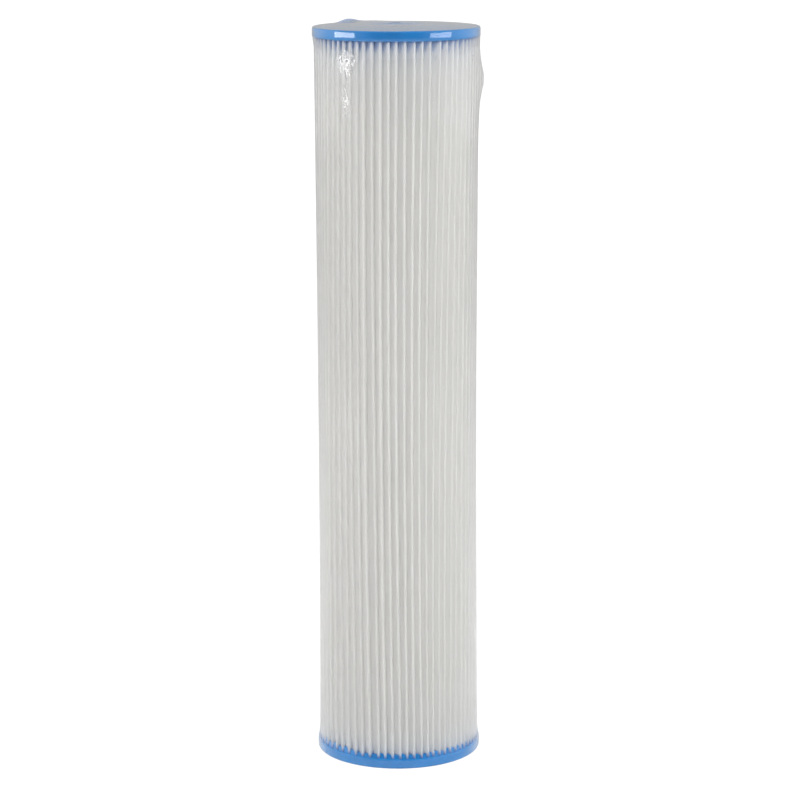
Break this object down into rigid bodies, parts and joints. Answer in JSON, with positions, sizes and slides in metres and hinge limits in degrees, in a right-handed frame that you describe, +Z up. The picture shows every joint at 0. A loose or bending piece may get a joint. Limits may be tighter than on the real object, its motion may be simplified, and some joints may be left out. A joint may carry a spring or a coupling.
{
  "type": "filter cartridge",
  "caption": "Tall pleated water filter cartridge with cast end caps, a through bore, a perforated inner core and a clear shrink film sleeve.",
  "frame": {"origin": "centre of the bottom bore, in the plane that the cartridge stands on", "axes": "+Z up the cartridge's axis, from the bottom bore to the top bore; the glued seam of the media lies towards +Y"},
  "size_m": [0.1145, 0.1146, 0.508],
  "materials": {
    "cap_plastisol": "glossy cast vinyl plastisol, mid blue",
    "pleat_nonwoven": "white spunbond polyester, faint fibre texture",
    "hot_melt": "cream hot-melt adhesive, slightly translucent",
    "core_polypropylene": "natural moulded polypropylene, milky white",
    "clear_film": "clear glossy polyolefin shrink film"
  },
  "bodies": {
    "root": {"bottom_end_cap": "cap_plastisol", "top_end_cap": "cap_plastisol", "pleated_media": "pleat_nonwoven", "media_seam_bead": "hot_melt", "core_lower_section": "core_polypropylene", "core_upper_section": "core_polypropylene", "core_coupling": "core_polypropylene", "shrink_film": "clear_film"}
  },
  "joints": []
}
